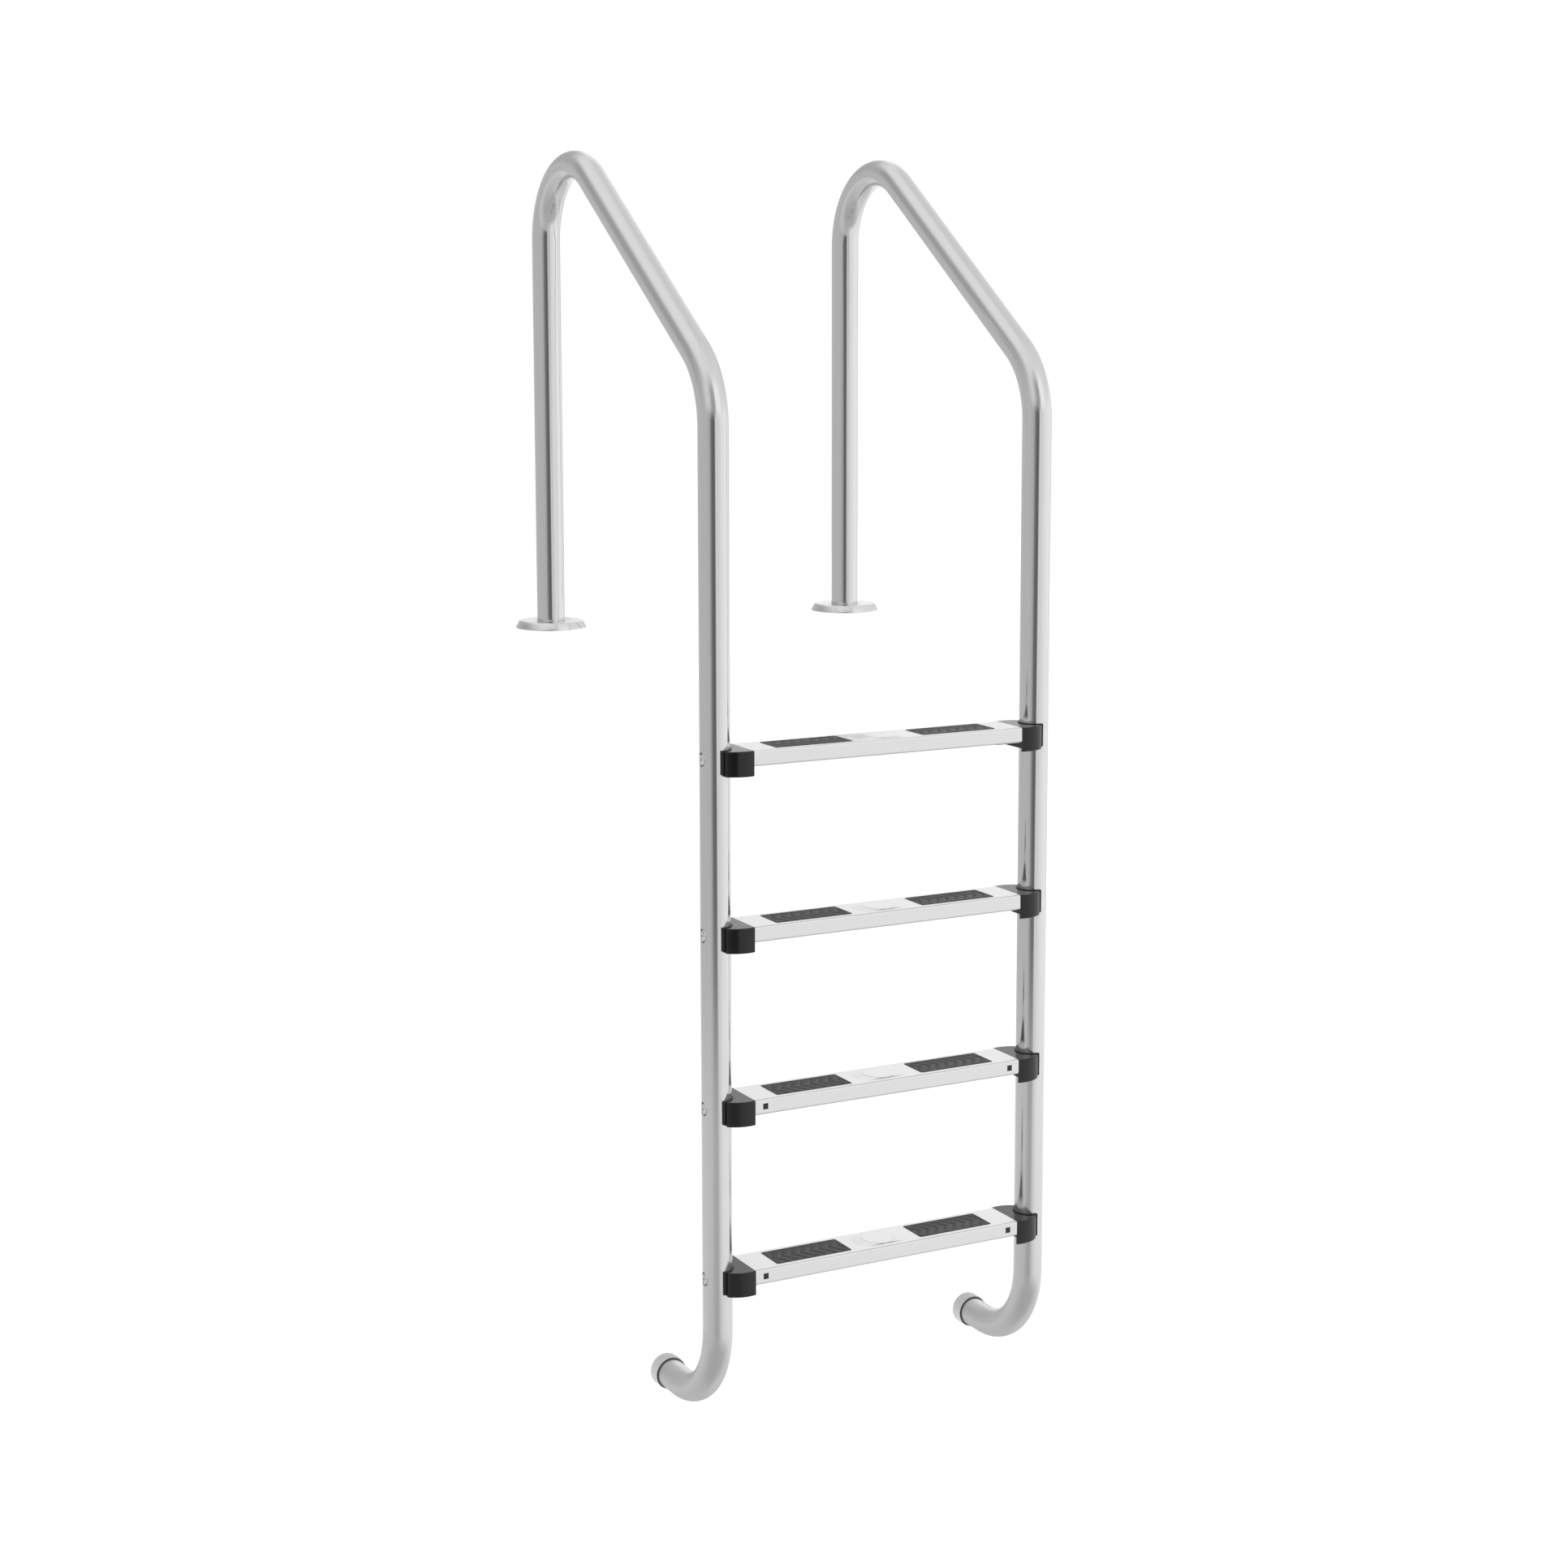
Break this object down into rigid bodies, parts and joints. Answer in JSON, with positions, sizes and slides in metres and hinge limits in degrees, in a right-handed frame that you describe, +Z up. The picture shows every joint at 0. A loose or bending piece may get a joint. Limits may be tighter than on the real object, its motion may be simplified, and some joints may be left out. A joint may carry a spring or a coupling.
{
  "type": "pool ladder",
  "caption": "Swimming pool ladder with bent steel handrails, channel treads with grooved grip pads, deck flanges and wall bumpers.",
  "frame": {"origin": "deck level, midway between the axes of the two posts", "axes": "+X across the width to the right, -Y towards the pool, +Z up"},
  "size_m": [0.637, 0.6716, 1.8303],
  "materials": {
    "tube_steel": "satin stainless tube",
    "tread_steel": "fine satin stainless sheet",
    "cover_steel": "pressed satin stainless",
    "plate_steel": "welded stainless plate",
    "pad_rubber": "dark grey moulded rubber",
    "cap_plastic": "black moulded plastic",
    "liner_rubber": "black soft liner",
    "bolt_steel": "stainless button-head bolt",
    "washer_plastic": "black moulded washer",
    "nut_steel": "stainless nut",
    "bumper_rubber": "pale grey rubber",
    "seal_rubber": "black rubber ring"
  },
  "bodies": {
    "ladder": {"left_rail": "tube_steel", "left_base_plate": "plate_steel", "left_bolts": "bolt_steel", "left_washers": "washer_plastic", "left_nuts": "nut_steel", "left_foot_bumper": "bumper_rubber", "left_bumper_seal": "seal_rubber", "right_rail": "tube_steel", "right_base_plate": "plate_steel", "right_bolts": "bolt_steel", "right_washers": "washer_plastic", "right_nuts": "nut_steel", "right_foot_bumper": "bumper_rubber", "right_bumper_seal": "seal_rubber", "tread_1": "tread_steel", "tread_1_left_pad": "pad_rubber", "tread_1_left_cap": "cap_plastic", "tread_1_left_liner": "liner_rubber", "tread_1_right_pad": "pad_rubber", "tread_1_right_cap": "cap_plastic", "tread_1_right_liner": "liner_rubber", "tread_2": "tread_steel", "tread_2_left_pad": "pad_rubber", "tread_2_left_cap": "cap_plastic", "tread_2_left_liner": "liner_rubber", "tread_2_right_pad": "pad_rubber", "tread_2_right_cap": "cap_plastic", "tread_2_right_liner": "liner_rubber", "tread_3": "tread_steel", "tread_3_left_pad": "pad_rubber", "tread_3_left_cap": "cap_plastic", "tread_3_left_liner": "liner_rubber", "tread_3_right_pad": "pad_rubber", "tread_3_right_cap": "cap_plastic", "tread_3_right_liner": "liner_rubber", "tread_4": "tread_steel", "tread_4_left_pad": "pad_rubber", "tread_4_left_cap": "cap_plastic", "tread_4_left_liner": "liner_rubber", "tread_4_right_pad": "pad_rubber", "tread_4_right_cap": "cap_plastic", "tread_4_right_liner": "liner_rubber"},
    "left_cover": {"left_flange_cover": "cover_steel"},
    "right_cover": {"right_flange_cover": "cover_steel"}
  },
  "joints": [
    {"name": "left_cover_slide", "type": "slide", "parent": "ladder", "child": "left_cover", "axis": [0, 0, 1], "range_m": [0, 0.58]},
    {"name": "right_cover_slide", "type": "slide", "parent": "ladder", "child": "right_cover", "axis": [0, 0, 1], "range_m": [0, 0.58]}
  ]
}
